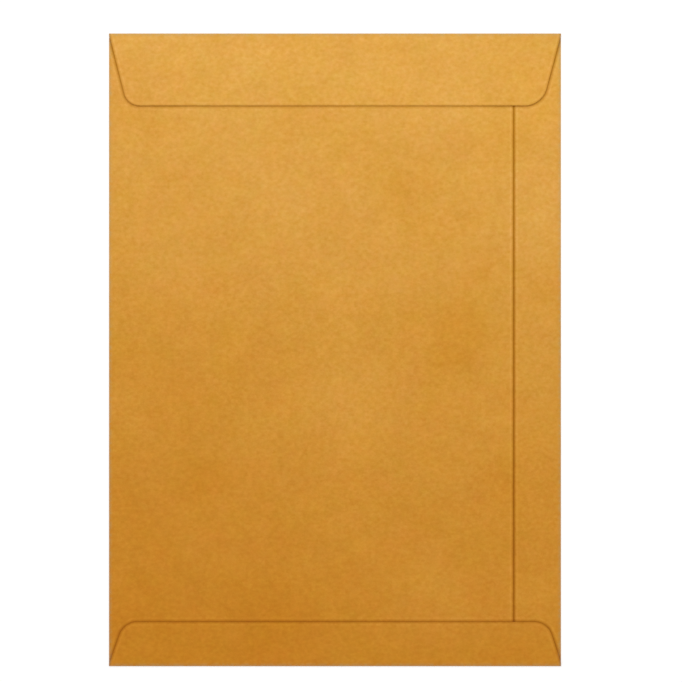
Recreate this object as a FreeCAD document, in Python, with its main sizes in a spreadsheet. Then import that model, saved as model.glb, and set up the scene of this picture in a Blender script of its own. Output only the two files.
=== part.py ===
"""A flat pocket envelope, folded and glued from one blank of kraft paper.

It lies on its front panel with the flap side up. X runs across the envelope, Y along it
towards the top flap, and Z up through its layers. The origin is the centre of the face
that it rests on. Lengths are in millimetres and angles in degrees.

From the floor up, the layers are the front panel, the air in the pocket, the side flap,
the back panel, and the bottom and top flaps.
"""
import FreeCAD, Part
import math
import os

import Sketcher

# The driving dimensions, for a pocket envelope of 200 x 280 mm.
SIZES = {
    "envelope_width": 200,
    "envelope_length": 280,
    "paper_thickness": 0.12,
    # the air between the front panel and the side flap
    "pocket_gap": 0.2,
    # from the right-hand fold to the free edge of the back panel
    "seam_inset": 21,
    # how far the glued side flap runs on under the back panel
    "seam_overlap": 12,
    # from each end of the envelope to the cut ends of the back panel and side flap
    "throat_setback": 2,
    "base_setback": 1,
    # the bottom flap, glued down over the back panel: past its short square shoulders its
    # sides taper in by an angle, up to the round corners
    "bottom_flap_depth": 19.6,
    "bottom_flap_shoulder": 1.9,
    "bottom_flap_taper": 19.5,
    "bottom_flap_left_corner": 8.6,
    "bottom_flap_right_corner": 8.2,
    "top_flap_depth": 32,
    "top_flap_shoulder": 1.1,
    "top_flap_taper": 14.8,
    "top_flap_left_corner": 7,
    "top_flap_right_corner": 9.8,
    # the top flap isn't stuck down: it starts this far above the back panel, and rises by
    # an angle
    "top_flap_gap": 0.1,
    "top_flap_spring": 1.5,
}

# The outside radius of each fold is half the height of the layers that it goes round.
RIGHT_FOLD = "(2 * sizes.paper_thickness + sizes.pocket_gap) / 2"
LEFT_FOLD = "(3 * sizes.paper_thickness + sizes.pocket_gap) / 2"
BOTTOM_FOLD = "(4 * sizes.paper_thickness + sizes.pocket_gap) / 2"
TOP_FOLD = "(4 * sizes.paper_thickness + sizes.pocket_gap + sizes.top_flap_gap) / 2"

PAPER = "sizes.paper_thickness"
HALF_WIDTH = "sizes.envelope_width / 2"
HALF_LENGTH = "sizes.envelope_length / 2"
# The front panel and the two end flaps have the same width at their creases.
CREASED_WIDTH = f"sizes.envelope_width - 2 * {LEFT_FOLD}"

# The sketcher's numbers for an edge's own points and for a sketch's axes.
START, END, CENTRE = range(1, 4)
X_AXIS, Y_AXIS = range(-1, -3, -1)
ORIGIN_POINT = (X_AXIS, START)

doc = FreeCAD.newDocument("paper_envelope")
sheet = doc.addObject("Spreadsheet::Sheet", "sizes")
for row, (alias, size) in enumerate(SIZES.items(), start=1):
    sheet.set(f"A{row}", alias)
    sheet.set(f"B{row}", str(size))
    sheet.setAlias(f"B{row}", alias)
doc.recompute()

envelope = doc.addObject("PartDesign::Body", "envelope")
envelope.Label = "envelope"


def value(expression):
    """What an expression over the driving dimensions comes to."""
    result = envelope.evalExpression(expression)
    return float(getattr(result, "Value", result))


def new_sketch(name, role):
    """An empty sketch on one of the body's own origin planes."""
    sketch = envelope.newObject("Sketcher::SketchObject", name)
    plane = next(item for item in envelope.Origin.OriginFeatures if item.Role == role)
    sketch.AttachmentSupport = (plane, "")
    sketch.MapMode = "FlatFace"
    return sketch


def add_line(sketch, start, end):
    """A straight edge between two points of the sketch."""
    edge = Part.LineSegment(FreeCAD.Vector(*start, 0), FreeCAD.Vector(*end, 0))
    return sketch.addGeometry(edge, False)


def add_arc(sketch, centre, radius, first, last):
    """An arc that runs anticlockwise between two angles in degrees."""
    circle = Part.Circle(FreeCAD.Vector(*centre, 0), FreeCAD.Vector(0, 0, 1), radius)
    arc = Part.ArcOfCircle(circle, math.radians(first), math.radians(last))
    return sketch.addGeometry(arc, False)


def hold(sketch, kind, *where):
    """A constraint that has no size."""
    sketch.addConstraint(Sketcher.Constraint(kind, *where))


def dimension(sketch, name, kind, where, expression):
    """A named dimension, bound to an expression over the driving dimensions."""
    start, bound = value(expression), expression
    if kind == "Angle":
        start, bound = math.radians(start), f"({expression}) * 1 deg"
    index = sketch.addConstraint(Sketcher.Constraint(kind, *where, start))
    sketch.renameConstraint(index, name)
    sketch.setExpression(f"Constraints.{name}", bound)


def add_pad(name, sketch, length, side="Symmetric"):
    """Adds paper to the body along the sketch's normal, as far as the expression says."""
    before = 0 if envelope.Shape.isNull() else envelope.Shape.Volume
    feature = envelope.newObject("PartDesign::Pad", name)
    feature.Profile = sketch
    feature.SideType = side
    feature.setExpression("Length", length)
    doc.recompute()
    if not sketch.FullyConstrained or feature.Shape.Volume <= before:
        raise RuntimeError(f"{name} has a loose sketch or adds no paper")


def wrap_section():
    """The section across the envelope: front panel, side folds, back panel and side flap.

    The outer loop is the outside of the paper and the inner loop is the pocket. Where the
    side flap is glued under the back panel, the two layers are one.
    """
    right, left, paper = value(RIGHT_FOLD), value(LEFT_FOLD), value(PAPER)
    right_x = value(f"{HALF_WIDTH} - {RIGHT_FOLD}")
    left_x = value(f"{LEFT_FOLD} - {HALF_WIDTH}")
    seam_x = value(f"{HALF_WIDTH} - sizes.seam_inset")
    tucked_x = seam_x - value("sizes.seam_overlap")

    sketch = new_sketch("wrap_section", "XZ_Plane")
    loops = []
    # how far each loop lies inside the outside of the paper, and where its step is
    for depth, step_x in ((0, seam_x), (paper, tucked_x)):
        low, lap, top = depth, 2 * right - depth, 2 * left - depth
        front = add_line(sketch, (left_x, low), (right_x, low))
        right_bend = add_arc(sketch, (right_x, right), right - depth, -90, 90)
        side_flap = add_line(sketch, (right_x, lap), (step_x, lap))
        step = add_line(sketch, (step_x, lap), (step_x, top))
        back = add_line(sketch, (step_x, top), (left_x, top))
        left_bend = add_arc(sketch, (left_x, left), left - depth, 90, 270)
        hold(sketch, "Tangent", front, END, right_bend, START)
        hold(sketch, "Tangent", right_bend, END, side_flap, START)
        hold(sketch, "Coincident", side_flap, END, step, START)
        hold(sketch, "Coincident", step, END, back, START)
        hold(sketch, "Tangent", back, END, left_bend, START)
        hold(sketch, "Tangent", left_bend, END, front, START)
        for level in (front, side_flap, back):
            hold(sketch, "Horizontal", level)
        hold(sketch, "Vertical", step)
        loops.append((front, right_bend, step, left_bend))

    front, right_bend, seam_edge, left_bend = loops[0]
    pocket_floor, right_hollow, tucked_edge, left_hollow = loops[1]
    hold(sketch, "PointOnObject", front, START, X_AXIS)
    hold(sketch, "Coincident", right_hollow, CENTRE, right_bend, CENTRE)
    hold(sketch, "Coincident", left_hollow, CENTRE, left_bend, CENTRE)
    dimension(sketch, "left_crease", "DistanceX", (left_bend, CENTRE, *ORIGIN_POINT),
              f"{HALF_WIDTH} - {LEFT_FOLD}")
    dimension(sketch, "right_crease", "DistanceX", (*ORIGIN_POINT, right_bend, CENTRE),
              f"{HALF_WIDTH} - {RIGHT_FOLD}")
    dimension(sketch, "left_fold", "Radius", (left_bend,), LEFT_FOLD)
    dimension(sketch, "right_fold", "Radius", (right_bend,), RIGHT_FOLD)
    dimension(sketch, "paper", "DistanceY", (front, START, pocket_floor, START), PAPER)
    dimension(sketch, "seam", "DistanceX", (*ORIGIN_POINT, seam_edge, START),
              f"{HALF_WIDTH} - sizes.seam_inset")
    dimension(sketch, "overlap", "DistanceX", (tucked_edge, START, seam_edge, START),
              "sizes.seam_overlap")
    return sketch


def front_outline():
    """The front panel between its creases."""
    side = value(CREASED_WIDTH) / 2
    low = value(f"{BOTTOM_FOLD} - {HALF_LENGTH}")
    high = value(f"{HALF_LENGTH} - {TOP_FOLD}")

    sketch = new_sketch("front_outline", "XY_Plane")
    bottom = add_line(sketch, (-side, low), (side, low))
    right = add_line(sketch, (side, low), (side, high))
    top = add_line(sketch, (side, high), (-side, high))
    left = add_line(sketch, (-side, high), (-side, low))
    for edge, following in ((bottom, right), (right, top), (top, left), (left, bottom)):
        hold(sketch, "Coincident", edge, END, following, START)
    for edge in (right, left):
        hold(sketch, "Vertical", edge)
    hold(sketch, "Horizontal", top)
    hold(sketch, "Symmetric", bottom, START, bottom, END, Y_AXIS)
    dimension(sketch, "width", "DistanceX", (bottom, START, bottom, END), CREASED_WIDTH)
    dimension(sketch, "bottom_crease", "DistanceY", (bottom, START, *ORIGIN_POINT),
              f"{HALF_LENGTH} - {BOTTOM_FOLD}")
    dimension(sketch, "top_crease", "DistanceY", (*ORIGIN_POINT, top, START),
              f"{HALF_LENGTH} - {TOP_FOLD}")
    return sketch


def fold_section(name, at_top, fold, spring):
    """The turn of paper at an end crease, with the sketch's X axis pointing out to it."""
    centre_x, outer = value(f"{HALF_LENGTH} - {fold}"), value(fold)
    inner = outer - value(PAPER)
    last = 90 - value(spring)
    lean = math.radians(last)
    flap_points = [(centre_x + r * math.cos(lean), outer + r * math.sin(lean)) for r in (inner, outer)]

    sketch = new_sketch(name, "YZ_Plane")
    if not at_top:
        about_upright = FreeCAD.Rotation(FreeCAD.Vector(0, 1, 0), 180)
        sketch.AttachmentOffset = FreeCAD.Placement(FreeCAD.Vector(), about_upright)
    outside = add_arc(sketch, (centre_x, outer), outer, -90, last)
    inside = add_arc(sketch, (centre_x, outer), inner, -90, last)
    front_end = add_line(sketch, (centre_x, 0), (centre_x, outer - inner))
    flap_end = add_line(sketch, *flap_points)
    hold(sketch, "Coincident", inside, CENTRE, outside, CENTRE)
    hold(sketch, "Coincident", front_end, START, outside, START)
    hold(sketch, "Coincident", front_end, END, inside, START)
    hold(sketch, "Coincident", flap_end, START, inside, END)
    hold(sketch, "Coincident", flap_end, END, outside, END)
    hold(sketch, "PointOnObject", front_end, START, X_AXIS)
    hold(sketch, "Vertical", front_end)
    hold(sketch, "PointOnObject", outside, CENTRE, front_end)
    hold(sketch, "PointOnObject", outside, CENTRE, flap_end)
    dimension(sketch, "crease", "DistanceX", (*ORIGIN_POINT, outside, CENTRE),
              f"{HALF_LENGTH} - {fold}")
    dimension(sketch, "fold", "Radius", (outside,), fold)
    dimension(sketch, "paper", "DistanceY", (front_end, START, front_end, END), PAPER)
    dimension(sketch, "lean", "Angle", (flap_end,), f"90 - {spring}")
    return sketch


def flap_outline(name, depth, shoulder, taper, left_corner, right_corner):
    """A flap's flat part, from its crease on the X axis up to its straight free edge.

    Each side is a short upright shoulder, a tapered edge and a round corner.
    """
    half, low, high = value(CREASED_WIDTH) / 2, value(shoulder), value(depth)
    slope = math.radians(value(taper))
    # where a tapered edge and the free edge would meet, but for the corner between them
    tip_x = half - (high - low) * math.tan(slope)

    sketch = new_sketch(name, "XY_Plane")
    crease = add_line(sketch, (-half, 0), (half, 0))
    free_edge = add_line(sketch, (-tip_x, high), (tip_x, high))
    hold(sketch, "Symmetric", crease, START, crease, END, Y_AXIS)
    hold(sketch, "PointOnObject", crease, START, X_AXIS)
    hold(sketch, "Horizontal", free_edge)
    dimension(sketch, "width", "DistanceX", (crease, START, crease, END), CREASED_WIDTH)
    dimension(sketch, "depth", "DistanceY", (crease, START, free_edge, START), depth)

    for hand, side, crease_end, corner in (
        (-1, "left", START, left_corner),
        (1, "right", END, right_corner),
    ):
        radius = value(corner)
        centre_x = hand * (tip_x - radius * math.tan((math.pi / 2 - slope) / 2))
        centre_y = high - radius
        taper_top = (centre_x + hand * radius * math.cos(slope), centre_y + radius * math.sin(slope))
        first, last = (value(taper), 90) if hand > 0 else (90, 180 - value(taper))
        at_taper, at_free_edge = (START, END) if hand > 0 else (END, START)

        upright = add_line(sketch, (hand * half, 0), (hand * half, low))
        tapered = add_line(sketch, (hand * half, low), taper_top)
        rounded = add_arc(sketch, (centre_x, centre_y), radius, first, last)
        hold(sketch, "Coincident", crease, crease_end, upright, START)
        hold(sketch, "Vertical", upright)
        hold(sketch, "Coincident", upright, END, tapered, START)
        hold(sketch, "Tangent", tapered, END, rounded, at_taper)
        hold(sketch, "Tangent", rounded, at_free_edge, free_edge, crease_end)
        dimension(sketch, f"{side}_shoulder", "DistanceY", (upright, START, upright, END), shoulder)
        dimension(sketch, f"{side}_taper", "Angle", (tapered,), f"90 + {hand} * {taper}")
        dimension(sketch, f"{side}_corner", "Radius", (rounded,), corner)
    return sketch


def add_end_flap(name, at_top, fold, spring):
    """Adds an end flap: the turn of paper at its crease, and then its flat part.

    The turn stops short of flat by the spring, which is 0 on a flap that is stuck down.
    The flat part's sketch lies in the middle of the paper, where the turn leaves off.
    """
    turn = fold_section(f"{name}_fold_section", at_top, fold, spring)
    add_pad(f"{name}_fold", turn, CREASED_WIDTH)

    middle = f"({fold} - {PAPER} / 2)"
    from_centre = f"({HALF_LENGTH} - {fold} + {middle} * sin({spring}))"
    # The flap's sizes count from the end of the envelope, and the sketch from the turn.
    depth, shoulder = (
        f"({from_centre} - {HALF_LENGTH} + sizes.{name}_{size}) / cos({spring})"
        for size in ("depth", "shoulder")
    )
    outline = flap_outline(f"{name}_outline", depth, shoulder, f"sizes.{name}_taper",
                           f"sizes.{name}_left_corner", f"sizes.{name}_right_corner")
    tilt = f"180 - {spring}" if at_top else spring
    about_crease = FreeCAD.Rotation(FreeCAD.Vector(1, 0, 0), value(tilt))
    outline.AttachmentOffset = FreeCAD.Placement(FreeCAD.Vector(), about_crease)
    outline.setExpression("AttachmentOffset.Base.y", from_centre if at_top else f"-{from_centre}")
    outline.setExpression("AttachmentOffset.Base.z", f"{fold} + {middle} * cos({spring})")
    outline.setExpression("AttachmentOffset.Rotation.Angle", tilt)
    add_pad(name, outline, PAPER)


# The wrap is padded from the throat down the envelope, which is along the section's normal.
wrap = wrap_section()
wrap.setExpression("AttachmentOffset.Base.z", f"sizes.throat_setback - {HALF_LENGTH}")
add_pad("wrap", wrap, "sizes.envelope_length - sizes.throat_setback - sizes.base_setback", "One side")
add_pad("front_panel", front_outline(), PAPER, "One side")
add_end_flap("bottom_flap", False, BOTTOM_FOLD, "0")
add_end_flap("top_flap", True, TOP_FOLD, "sizes.top_flap_spring")

doc.recompute()
for item in doc.Objects:
    if {"Invalid", "Error"} & set(item.State):
        raise RuntimeError(f"{item.Label} did not recompute: {item.State}")
shape = envelope.Shape
if shape.isNull() or not shape.isValid() or len(shape.Solids) != 1:
    raise RuntimeError("the envelope isn't one valid solid")

os.makedirs("parts", exist_ok=True)
shape.exportStep(f"parts/{envelope.Label}.step")
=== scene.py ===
"""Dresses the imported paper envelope: the folded sheet, its kraft paper, the floor and the light."""

import math

import bmesh
import bpy
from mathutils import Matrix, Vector, noise


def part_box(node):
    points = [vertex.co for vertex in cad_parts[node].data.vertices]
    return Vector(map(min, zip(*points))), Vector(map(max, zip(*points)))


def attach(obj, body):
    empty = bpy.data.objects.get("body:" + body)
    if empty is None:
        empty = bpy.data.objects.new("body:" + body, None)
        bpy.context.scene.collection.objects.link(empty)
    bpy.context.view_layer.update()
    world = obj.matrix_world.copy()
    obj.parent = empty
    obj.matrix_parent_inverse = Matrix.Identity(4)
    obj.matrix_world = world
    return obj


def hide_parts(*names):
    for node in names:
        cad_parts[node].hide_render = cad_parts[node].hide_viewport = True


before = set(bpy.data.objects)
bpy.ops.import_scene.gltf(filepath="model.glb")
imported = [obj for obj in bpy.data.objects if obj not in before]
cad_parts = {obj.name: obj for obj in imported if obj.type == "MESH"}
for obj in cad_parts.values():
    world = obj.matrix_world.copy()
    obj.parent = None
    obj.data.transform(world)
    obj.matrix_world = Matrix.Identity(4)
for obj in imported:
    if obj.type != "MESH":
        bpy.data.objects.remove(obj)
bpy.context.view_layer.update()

# The sheet. One blank of kraft paper of about 90 g per square metre, die-cut and folded
# round on itself: the back panel from the left and the side flap from the right, glued in
# a side seam, then the bottom flap, glued, and the top flap, only folded down.
half_width, half_length = Vector(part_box("envelope")[1]).xy
paper = 0.00012
pocket_gap = 0.0002
glue_film = 0.00001
flap_lift = 0.00006
seam_inset = 0.021
seam_overlap = 0.012
throat_setback = 0.002
base_setback = 0.001

# Each end flap runs from its crease past short square shoulders and tapers to a free edge
# with round corners. The die cuts its left and right sides a little differently.
top_flap = {
    "way": 1, "depth": 0.032,
    "left_shoulder": 0.0005, "right_shoulder": 0.001,
    "left_taper": math.radians(14.5), "right_taper": math.radians(15.3),
    "left_corner": 0.007, "right_corner": 0.0098,
}
bottom_flap = {
    "way": -1, "depth": 0.0197,
    "left_shoulder": 0.0011, "right_shoulder": 0.0017,
    "left_taper": math.radians(19.4), "right_taper": math.radians(18),
    "left_corner": 0.0086, "right_corner": 0.0082,
}

# the free and the tucked edge of the side seam, and the back panel's two cut ends
seam_x = half_width - seam_inset
tucked_x = seam_x - seam_overlap
throat_y = half_length - throat_setback
base_y = base_setback - half_length

# the height of each layer's middle while the sheet is flat
front_level = paper / 2
side_flap_level = front_level + paper + pocket_gap
back_level = side_flap_level + paper + glue_film
bottom_flap_level = back_level + paper + glue_film
top_flap_level = bottom_flap_level + flap_lift

# Places less than a hair apart count as the same, and points less than a weld apart as one.
hair = 1e-6
weld = 1e-7
fold_steps = 8
corner_steps = 14


def crease_inset(level):
    """How far inside the outline the axis of a fold up to that level lies."""
    return paper / 2 + (level - front_level) / 2


def select_where(kind, test):
    """Selects only the sheet's parts of one kind whose corners all pass the test."""
    mesh = bmesh.from_edit_mesh(sheet.data)
    for part in (*mesh.verts, *mesh.edges, *mesh.faces):
        part.select = False
    for part in getattr(mesh, kind):
        corners = (part,) if kind == "verts" else part.verts
        if all(test(corner.co) for corner in corners):
            part.select_set(True)
    mesh.select_flush_mode()
    bmesh.update_edit_mesh(sheet.data)


def cut_across(place, normal):
    """Cuts an edge into the whole sheet where a plane meets it."""
    bpy.ops.mesh.select_all(action="SELECT")
    bpy.ops.mesh.bisect(plane_co=place, plane_no=normal, threshold=weld)


def fold_over(axis_point, axis, turn, reach):
    """Turns the selected edge over a fold, then draws it out flat into a new panel."""
    bpy.ops.mesh.spin(steps=fold_steps, angle=turn * math.pi, center=axis_point, axis=axis)
    bpy.ops.mesh.extrude_region_move(TRANSFORM_OT_translate={"value": reach})


# The front panel lies underneath. Past the ends of the side folds, it widens over a short
# stretch to the full width of the flaps' shoulders.
widening = 0.0002
left_crease = crease_inset(back_level) - half_width
right_crease = half_width - crease_inset(side_flap_level)
top_crease = half_length - crease_inset(top_flap_level)
bottom_crease = crease_inset(bottom_flap_level) - half_length
panel_middle = ((left_crease + right_crease) / 2, (bottom_crease + top_crease) / 2, front_level)
bpy.ops.object.select_all(action="DESELECT")
bpy.ops.mesh.primitive_plane_add(size=1, location=panel_middle)
sheet = bpy.context.object
sheet.name = "folded_sheet"
sheet.scale = (right_crease - left_crease, top_crease - bottom_crease, 1)
bpy.ops.object.transform_apply(location=True, rotation=False, scale=True)
bpy.ops.object.mode_set(mode="EDIT")
bpy.ops.mesh.select_mode(type="EDGE")
for cut_y in (base_y - widening, base_y, throat_y, throat_y + widening):
    cut_across((0, cut_y, 0), (0, 1, 0))

# The back panel turns over from the left, and the side flap from the right.
wrap_low, wrap_high = base_y - hair, throat_y + hair
select_where("edges", lambda co: co.x < left_crease + hair and wrap_low < co.y < wrap_high)
fold_over((left_crease, 0, (front_level + back_level) / 2), (0, 1, 0), -1,
          (seam_x - left_crease, 0, 0))
select_where("edges", lambda co: abs(co.x - right_crease) < hair and co.z < front_level + hair
             and wrap_low < co.y < wrap_high)
fold_over((right_crease, 0, (front_level + side_flap_level) / 2), (0, 1, 0), 1,
          (tucked_x - right_crease, 0, 0))

# The end flaps fold over both. Each is drawn out square, then its tips move in and are rounded.
for flap, level, crease_y in (
    (top_flap, top_flap_level, top_crease),
    (bottom_flap, bottom_flap_level, bottom_crease),
):
    way = flap["way"]
    select_where("edges", lambda co: abs(co.y - crease_y) < hair and co.z < front_level + hair)
    shoulder_y = way * (half_length - flap["left_shoulder"])
    free_y = way * (half_length - flap["depth"])
    fold_over((0, crease_y, (front_level + level) / 2), (1, 0, 0), -way,
              (0, shoulder_y - crease_y, 0))
    bpy.ops.mesh.extrude_region_move(TRANSFORM_OT_translate={"value": (0, free_y - shoulder_y, 0)})
    for hand, side, crease_x in ((-1, "left", left_crease), (1, "right", right_crease)):
        shoulder, taper = flap[side + "_shoulder"], flap[side + "_taper"]
        select_where("verts", lambda co: abs(co.y - shoulder_y) < hair and co.x * hand > 0)
        bpy.ops.transform.translate(value=(0, way * (flap["left_shoulder"] - shoulder), 0))
        select_where("verts", lambda co: abs(co.y - free_y) < hair and co.x * hand > half_width / 2)
        tip_x = half_width - (flap["depth"] - shoulder) * math.tan(taper)
        bpy.ops.transform.translate(value=(hand * tip_x - crease_x, 0, 0))
        from_tip = flap[side + "_corner"] * math.tan((math.pi / 2 - taper) / 2)
        bpy.ops.mesh.bevel(offset=from_tip, segments=corner_steps, affect="VERTICES")

# Past the cut ends of the back panel, the flaps' shoulders are flush with the side folds.
shoulder_play = 0.00002
flush = half_width - shoulder_play
for hand, crease_x in ((-1, left_crease), (1, right_crease)):
    select_where("verts", lambda co: co.x * hand > abs(crease_x) - hair
                 and (co.z > back_level + hair or not wrap_low - hair < co.y < wrap_high + hair))
    bpy.ops.transform.resize(value=(flush / abs(crease_x), 1, 1), center_override=(0, 0, 0))

# The sheet is cut into cells so that it can bend a little.
cell = 0.005
for axis, normal, half in ((0, (1, 0, 0), half_width), (1, (0, 1, 0), half_length)):
    count = int((half - cell / 2) / cell)
    for step in range(-count, count):
        plane_point = Vector((0, 0, 0))
        plane_point[axis] = (step + 0.5) * cell
        cut_across(plane_point, normal)

# Each point keeps its height in the flat stack, which tells the layers apart in the paper's
# pattern. Then the top flap springs up a little from its crease.
bpy.ops.object.mode_set(mode="OBJECT")
stack = sheet.data.attributes.new("stack_height", "FLOAT", "POINT")
for vertex in sheet.data.vertices:
    stack.data[vertex.index].value = vertex.co.z
spring = math.radians(1.35)
flap_floor = bottom_flap_level + flap_lift / 3
crease_axis = Vector((0, top_crease, (front_level + top_flap_level) / 2))
bpy.ops.object.mode_set(mode="EDIT")
bpy.ops.mesh.select_mode(type="VERT")
select_where("verts", lambda co: co.z > flap_floor and co.y > 0)
bpy.ops.transform.rotate(value=spring, orient_axis="X", center_override=crease_axis)
bpy.ops.object.mode_set(mode="OBJECT")

# An empty envelope never lies quite flat. Air puffs up the pocket, the paper is cockled,
# and the top flap waves along its free edge.
puff = 0.0004
cockle = 0.00005
cockle_size = 0.035
flap_wave = 0.0004
wave_size = 0.07
wave_seed = 1.3
stack_heights = sheet.data.attributes["stack_height"].data
for vertex in sheet.data.vertices:
    height = stack_heights[vertex.index].value
    across, along = vertex.co.x / half_width, vertex.co.y / half_length
    if height > flap_floor and along > 0:
        from_crease = max(top_crease - vertex.co.y, 0) / top_flap["depth"]
        wave = 0.5 + 0.5 * noise.noise(Vector((vertex.co.x / wave_size, wave_seed, 0)))
        vertex.co.z -= flap_wave * from_crease * wave
    else:
        off_front = min((height - front_level) / (side_flap_level - front_level), 1)
        dome = (1 - across ** 4) * (1 - along ** 4)
        ripple = noise.noise(vertex.co.xy.to_3d() / cockle_size)
        vertex.co.z += off_front * dome * (puff + cockle * ripple)

bpy.ops.object.mode_set(mode="EDIT")
bpy.ops.mesh.select_all(action="SELECT")
bpy.ops.mesh.remove_doubles(threshold=weld)
bpy.ops.mesh.normals_make_consistent(inside=False)
bpy.ops.object.mode_set(mode="OBJECT")
thickness = sheet.modifiers.new("paper", "SOLIDIFY")
thickness.thickness = paper
thickness.offset = 0
bpy.ops.object.modifier_apply(modifier=thickness.name)
bpy.ops.object.shade_smooth_by_angle(angle=math.radians(35))

# Kraft paper. Unbleached brown stock, lighter and yellower at the top flap and a deeper
# orange at the foot, partly its own tone and partly painted light falling from the top end,
# with a mottled, fibrous surface. The laps show as painted shadow lines.
kraft_lit_at_top = (0.752, 0.382, 0.0695)
kraft_lit_at_throat = (0.725, 0.36, 0.062)
kraft_shaded_in_middle = (0.637, 0.284, 0.0335)
kraft_shaded_at_foot = (0.564, 0.216, 0.0143)
# how much a lighter or darker fibre changes each of red, green and blue, and a whole patch
# of mottling, and how far each of the three drifts by itself
fibre_tint = (1, 1.65, 4.8)
mottle_tint = (1, 2, 7.2)
drift_tint = (0.19, 0.26, 0.6)
# lighter and darker patches: the middle of each patch, its radius and its tone
tone_patches = (
    ((-0.02, -0.055), 0.05, 0.014),
    ((0.004, -0.026), 0.022, 0.04),
    ((0.042, -0.107), 0.02, 0.04),
    ((0.085, -0.112), 0.012, 0.035),
    ((-0.03, 0.066), 0.026, 0.022),
    ((0.086, 0.052), 0.018, 0.025),
    ((0.087, -0.02), 0.015, 0.022),
    ((-0.07, 0.045), 0.028, 0.016),
    ((0, 0.012), 0.035, 0.014),
    ((0.056, 0.005), 0.019, -0.055),
    ((0.03, 0.07), 0.014, -0.035),
    ((0.069, 0.09), 0.013, -0.015),
    ((-0.058, -0.06), 0.011, -0.035),
    ((0.073, -0.06), 0.012, -0.03),
    ((-0.095, -0.06), 0.018, -0.01),
    ((-0.09, 0.002), 0.016, -0.015),
    ((-0.075, -0.142), 0.02, -0.015),
    ((-0.026, -0.121), 0.013, -0.03),
    ((0.09, 0.128), 0.03, -0.03),
    ((-0.05, 0.125), 0.016, -0.02),
)


def add_node(tree, kind, **settings):
    """Adds a node to a material or group, with its settings."""
    node = tree.nodes.new(kind)
    for name, setting in settings.items():
        setattr(node, name, setting)
    return node


def feed(tree, node, *values):
    """Sets a node's inputs in order, each to a number or to another node's output."""
    for socket, value in zip(node.inputs, values):
        if isinstance(value, bpy.types.NodeSocket):
            tree.links.new(value, socket)
        elif value is not None:
            socket.default_value = value
    return node.outputs[0]


def calculate(tree, operation, *values):
    """The result of a Math node."""
    return feed(tree, add_node(tree, "ShaderNodeMath", operation=operation), *values)


def build_flap_outline():
    """A group that gives the distance from a flap's outline, below 0 on the flap itself.

    The flap's sides and free edge are two straight lines, and its corner is an arc whose
    centre lies inside both of them by the corner's radius.
    """
    group = bpy.data.node_groups.new("flap_outline", "ShaderNodeTree")
    group.interface.new_socket("Place", in_out="INPUT", socket_type="NodeSocketVector")
    for size in top_flap:
        name = size.replace("_", " ").title()
        group.interface.new_socket(name, in_out="INPUT", socket_type="NodeSocketFloat")
    group.interface.new_socket("Distance", in_out="OUTPUT", socket_type="NodeSocketFloat")
    group_inputs = add_node(group, "NodeGroupInput").outputs
    place, way, depth, *pairs = group_inputs[:1 + len(top_flap)]

    def math_of(operation, *values):
        return calculate(group, operation, *values)

    split = add_node(group, "ShaderNodeSeparateXYZ")
    feed(group, split, place)
    x, y = split.outputs[:2]
    on_right = math_of("GREATER_THAN", x, 0)
    shoulder, taper, corner = (
        math_of("MULTIPLY_ADD", math_of("SUBTRACT", right, left), on_right, left)
        for left, right in (pairs[:2], pairs[2:4], pairs[4:])
    )
    sine, cosine = math_of("SINE", taper), math_of("COSINE", taper)
    from_end = math_of("SUBTRACT", half_length, math_of("MULTIPLY", way, y))
    past_side = math_of("SUBTRACT", math_of("ABSOLUTE", x), half_width)
    past_shoulder = math_of("MAXIMUM", math_of("SUBTRACT", from_end, shoulder), 0)
    side = math_of("MULTIPLY_ADD", past_shoulder, sine, math_of("MULTIPLY", past_side, cosine))
    side = math_of("ADD", side, corner)
    free = math_of("ADD", math_of("SUBTRACT", from_end, depth), corner)

    # the place from the corner's centre, along the free edge's normal and the side's
    spread = math_of("MULTIPLY", cosine, cosine)
    to_free = math_of("DIVIDE", math_of("SUBTRACT", free, math_of("MULTIPLY", sine, side)), spread)
    to_side = math_of("DIVIDE", math_of("SUBTRACT", side, math_of("MULTIPLY", sine, free)), spread)
    off_free, off_side = math_of("GREATER_THAN", to_free, 0), math_of("GREATER_THAN", to_side, 0)
    squares = math_of("MULTIPLY_ADD", to_free, free, math_of("MULTIPLY", to_side, side))
    from_centre = math_of("SQRT", math_of("MAXIMUM", squares, 0))
    in_corner = math_of("MULTIPLY", from_centre, math_of("MULTIPLY", off_free, off_side))
    furthest = math_of("MAXIMUM", math_of("MAXIMUM", side, free), in_corner)
    result = math_of("SUBTRACT", furthest, corner)
    group.links.new(result, add_node(group, "NodeGroupOutput").inputs[0])
    return group


flap_outline = build_flap_outline()
kraft = bpy.data.materials.new("kraft_paper")
kraft.use_nodes = True
tree = kraft.node_tree
shader = tree.nodes["Principled BSDF"]


def work_out(operation, *values):
    """The result of a Math node in the kraft paper."""
    return calculate(tree, operation, *values)


place = add_node(tree, "ShaderNodeTexCoord").outputs["Object"]
split = add_node(tree, "ShaderNodeSeparateXYZ")
feed(tree, split, place)
x, y = split.outputs[:2]
height = add_node(tree, "ShaderNodeAttribute", attribute_name="stack_height").outputs["Fac"]
# Each layer is another part of the blank, so its pattern is a different one.
layer_spread = 25
blank_place = add_node(tree, "ShaderNodeCombineXYZ")
feed(tree, blank_place, x, y, work_out("MULTIPLY", height, layer_spread))


def add_noise(size, detail=2, roughness=0.5, long=1, turn=0):
    """Noise with blotches of a size in metres, made longer along an axis turned from X."""
    mapping = add_node(tree, "ShaderNodeMapping", vector_type="TEXTURE")
    feed(tree, mapping, blank_place.outputs[0], None, (0, 0, turn), (long, 1, 1))
    texture = add_node(tree, "ShaderNodeTexNoise")
    feed(tree, texture, mapping.outputs[0], None, 1 / size, detail, roughness)
    return texture


def tone_noise(size, **shape):
    """Light and dark noise about 0."""
    return work_out("SUBTRACT", add_noise(size, **shape).outputs["Fac"], 0.5)


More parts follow.
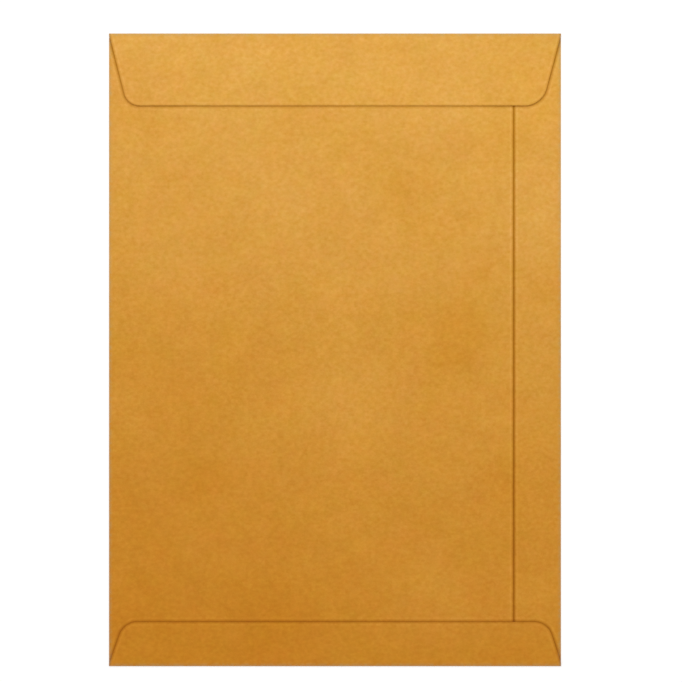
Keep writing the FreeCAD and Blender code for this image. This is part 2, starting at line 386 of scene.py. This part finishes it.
def add_up(*shares):
    """Noises added up, each times its share."""
    total = 0
    for tone, share in shares:
        total = work_out("MULTIPLY_ADD", tone, share, total)
    return total


def mix(blend, factor, base, other):
    """The colour that a Mix Color node makes."""
    node = add_node(tree, "ShaderNodeMix", data_type="RGBA", blend_type=blend)
    for socket, value in ((node.inputs[0], factor), (node.inputs[6], base), (node.inputs[7], other)):
        if isinstance(value, bpy.types.NodeSocket):
            tree.links.new(value, socket)
        elif isinstance(value, tuple):
            socket.default_value = (*value, 1)
        else:
            socket.default_value = value
    return node.outputs[2]


def band(distance, middle, width):
    """A soft line: 1 where the distance is at the middle, fading out over the width."""
    off = work_out("DIVIDE", work_out("SUBTRACT", distance, middle), width)
    return work_out("EXPONENT", work_out("MULTIPLY", work_out("MULTIPLY", off, off), -1))


clouds = tone_noise(0.045, roughness=0.6)
blotches = tone_noise(0.008, detail=1)
grain = tone_noise(0.0015, detail=1, long=1.25)
# bundles of fibres, and among them single ones as thin as a hair, that lie all ways
fibres, hairs = 0, 0
for turn in (0.3, -0.9, 1.4):
    fibres = work_out("ADD", fibres, tone_noise(0.0004, long=8, turn=turn))
    hairs = work_out("ADD", hairs, tone_noise(0.00009, detail=1, long=18, turn=turn + 0.6))

# the colour from the foot to the top, which also changes a little from left to right: partly
# the stock's own tone, partly painted light, lighter towards the top end and to the right
ramp = add_node(tree, "ShaderNodeValToRGB")
lean = 0.07
middle_stop = 0.52
across = work_out("MULTIPLY_ADD", x, lean / half_width, middle_stop)
feed(tree, ramp, work_out("MULTIPLY_ADD", y, 0.5 / half_length, across))
foot_stop, top_stop = ramp.color_ramp.elements
foot_stop.position, foot_stop.color = 0.02, (*kraft_shaded_at_foot, 1)
top_stop.position, top_stop.color = 0.95, (*kraft_lit_at_top, 1)
ramp.color_ramp.elements.new(0.5).color = (*kraft_shaded_in_middle, 1)
ramp.color_ramp.elements.new(0.9).color = (*kraft_lit_at_throat, 1)

# the paper's light and dark, from broad clouds down to single fibres
fibre_tone = add_up((grain, 0.21), (fibres, 0.033), (hairs, 0.08))
mottle_tone = add_up((blotches, 0.045), (clouds, 0.085))
sheet_place = add_node(tree, "ShaderNodeCombineXYZ")
feed(tree, sheet_place, x, y)
for middle, radius, tone in tone_patches:
    apart = add_node(tree, "ShaderNodeVectorMath", operation="DISTANCE")
    feed(tree, apart, sheet_place.outputs[0], (*middle, 0))
    mottle_tone = work_out("MULTIPLY_ADD", band(apart.outputs["Value"], 0, radius), tone, mottle_tone)
drift = add_noise(0.016, detail=4, roughness=0.9).outputs["Color"]
undrifted = tuple(1 - change / 2 for change in drift_tint)
colour = ramp.outputs[0]
for change, tint, unchanged in (
    (fibre_tone, fibre_tint, (1, 1, 1)),
    (mottle_tone, mottle_tint, (1, 1, 1)),
    (drift, drift_tint, undrifted),
):
    shade = add_node(tree, "ShaderNodeVectorMath", operation="MULTIPLY_ADD")
    colour = mix("MULTIPLY", 1, colour, feed(tree, shade, change, tint, unchanged))

# The laps are the two end flaps' outlines, and the seam where no flap covers it. Each has a
# soft painted shadow with a thin, darker painted contact shadow in it, and a painted highlight
# along either side.
lap_shade = (0.641, 0.512, 0.108)
lap_line = 0.0007
lap_shift = 0.00012
gap_shadow = (0.45, 0.3, 0.1)
gap_line = 0.00005
gap_shift = 0.00006
lap_highlight = (1.07, 1.09, 1.3)
highlight_line = 0.0004
highlight_shift = 0.0014
# how strong each flap's painted shadow line is at its crease and at its free edge, and how much
# further out the shadow of its raised free edge falls
flap_lines = (
    (top_flap, 1, 0.49, 0.00018),
    (bottom_flap, 0.85, 0.68, 0),
)
from_end = work_out("SUBTRACT", half_length, work_out("ABSOLUTE", y))
on_back = work_out("GREATER_THAN", height, 2 * paper)
uncovered = work_out("LESS_THAN", height, back_level + paper / 2)
on_seam = work_out("MULTIPLY", uncovered, work_out("GREATER_THAN", from_end, base_setback))
laps = [(work_out("SUBTRACT", x, seam_x), work_out("MULTIPLY", on_back, on_seam))]
for flap, at_crease, at_free_edge, rise in flap_lines:
    outline = add_node(tree, "ShaderNodeGroup", node_tree=flap_outline)
    distance = feed(tree, outline, place, *flap.values())
    distance = work_out("MULTIPLY_ADD", from_end, -rise / flap["depth"], distance)
    fading = (at_free_edge - at_crease) / flap["depth"]
    strength = work_out("MULTIPLY_ADD", from_end, fading, at_crease)
    laps.append((distance, work_out("MULTIPLY", on_back, strength)))
# each lap gets its painted shadow, its painted contact shadow and a painted highlight on either side
for distance, strength in laps:
    for tint, middle, width in (
        (lap_shade, lap_shift, lap_line),
        (gap_shadow, gap_shift, gap_line),
        (lap_highlight, lap_shift - highlight_shift, highlight_line),
        (lap_highlight, lap_shift + highlight_shift, highlight_line),
    ):
        mask = work_out("MULTIPLY", band(distance, middle, width), strength)
        colour = mix("MULTIPLY", mask, colour, tint)

# The folds are darker and greyer along the sides and both ends: partly scuffing, partly
# painted shade on the folds' rounded edges.
scuffed_and_shaded_fold = (0.17, 0.3, 0.23)
rim_line = 0.0007
rim_shift = 0.0005
scuff_and_shade_depth = 0.15
from_side = work_out("SUBTRACT", half_width, work_out("ABSOLUTE", x))
rim = band(work_out("MINIMUM", from_side, from_end), rim_shift, rim_line)
scuff_and_shade = work_out("ADD", add_up((fibres, 0.3), (grain, 0.4)), scuff_and_shade_depth)
colour = mix("MIX", work_out("MULTIPLY", rim, scuff_and_shade), colour, scuffed_and_shaded_fold)
tree.links.new(colour, shader.inputs["Base Color"])

# The surface is matt, and fibrous to the touch.
bump = add_node(tree, "ShaderNodeBump")
bump.inputs["Strength"].default_value = 0.5
bump.inputs["Distance"].default_value = 0.00003
relief = add_up((grain, 1), (blotches, 1), (fibres, 0.6), (hairs, 0.3))
tree.links.new(relief, bump.inputs["Height"])
tree.links.new(bump.outputs[0], shader.inputs["Normal"])
tree.links.new(work_out("MULTIPLY_ADD", grain, 0.3, 0.8), shader.inputs["Roughness"])
shader.inputs["Specular IOR Level"].default_value = 0.12

sheet.data.materials.clear()
sheet.data.materials.append(kraft)
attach(sheet, "root")
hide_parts("envelope")

# The floor. A plain white tabletop just under the envelope, which the camera sees as pure
# white but for the shadow close around the envelope.
bpy.ops.object.select_all(action="DESELECT")
bpy.ops.mesh.primitive_plane_add(size=8, location=(0, 0, -0.00005))
floor = bpy.context.object
floor.name = "floor"
bpy.ops.object.transform_apply(location=True, rotation=False, scale=False)
white = bpy.data.materials.new("white_table")
white.use_nodes = True
table_shader = white.node_tree.nodes["Principled BSDF"]
table_shader.inputs["Base Color"].default_value = (0.8, 0.8, 0.8, 1)
table_shader.inputs["Roughness"].default_value = 0.9
table_shader.inputs["Specular IOR Level"].default_value = 0.1
table_shader.inputs["Emission Color"].default_value = (1, 1, 1, 1)
# The lamp lights the table less further off, so the table shines a little more there.
near, far = 0.2, 1.6
near_shine, far_shine = 0.27, 0.47
table_place = add_node(white.node_tree, "ShaderNodeTexCoord").outputs["Object"]
reach = add_node(white.node_tree, "ShaderNodeVectorMath", operation="LENGTH")
feed(white.node_tree, reach, table_place)
shine = add_node(white.node_tree, "ShaderNodeMapRange", interpolation_type="SMOOTHSTEP")
feed(white.node_tree, shine, reach.outputs["Value"], near, far, near_shine, far_shine)
rays = add_node(white.node_tree, "ShaderNodeLightPath")
seen = calculate(white.node_tree, "MULTIPLY", rays.outputs["Is Camera Ray"], shine.outputs[0])
white.node_tree.links.new(seen, table_shader.inputs["Emission Strength"])
floor.data.materials.append(white)

# The light. A white room, and one wide soft lamp over the top flap's end.
world = bpy.data.worlds.new("white_room")
world.use_nodes = True
bpy.context.scene.world = world
sky = world.node_tree.nodes["Background"]
sky.inputs["Color"].default_value = (1, 1, 1, 1)
rays = add_node(world.node_tree, "ShaderNodeLightPath")
seen = calculate(world.node_tree, "MAXIMUM", rays.outputs["Is Camera Ray"], rays.outputs["Is Glossy Ray"])
seen = calculate(world.node_tree, "MAXIMUM", seen, rays.outputs["Is Transmission Ray"])
room_light = 0.67
strength = calculate(world.node_tree, "MULTIPLY_ADD", seen, 1 - room_light, room_light)
world.node_tree.links.new(strength, sky.inputs["Strength"])

bpy.ops.object.light_add(type="AREA", location=(-0.05, 0.4, 1.1))
lamp = bpy.context.object
lamp.name = "soft_lamp"
lamp.data.size = 0.9
lamp.data.energy = 5.5
lamp.rotation_euler = (-lamp.location).to_track_quat("-Z", "Y").to_euler()

# The camera. It looks straight down on the flap side from far off, with the top flap up, and
# a little to the right of and above the envelope's middle.
view_width = 0.302
bpy.ops.object.camera_add(location=(0.00266, 0.0039, 0.84), rotation=(0, 0, 0))
camera = bpy.context.object
camera.name = "camera_above"
camera.data.sensor_width = 36
camera.data.lens = camera.data.sensor_width * camera.location.z / view_width
bpy.context.scene.camera = camera
bpy.context.scene.view_settings.view_transform = "Standard"
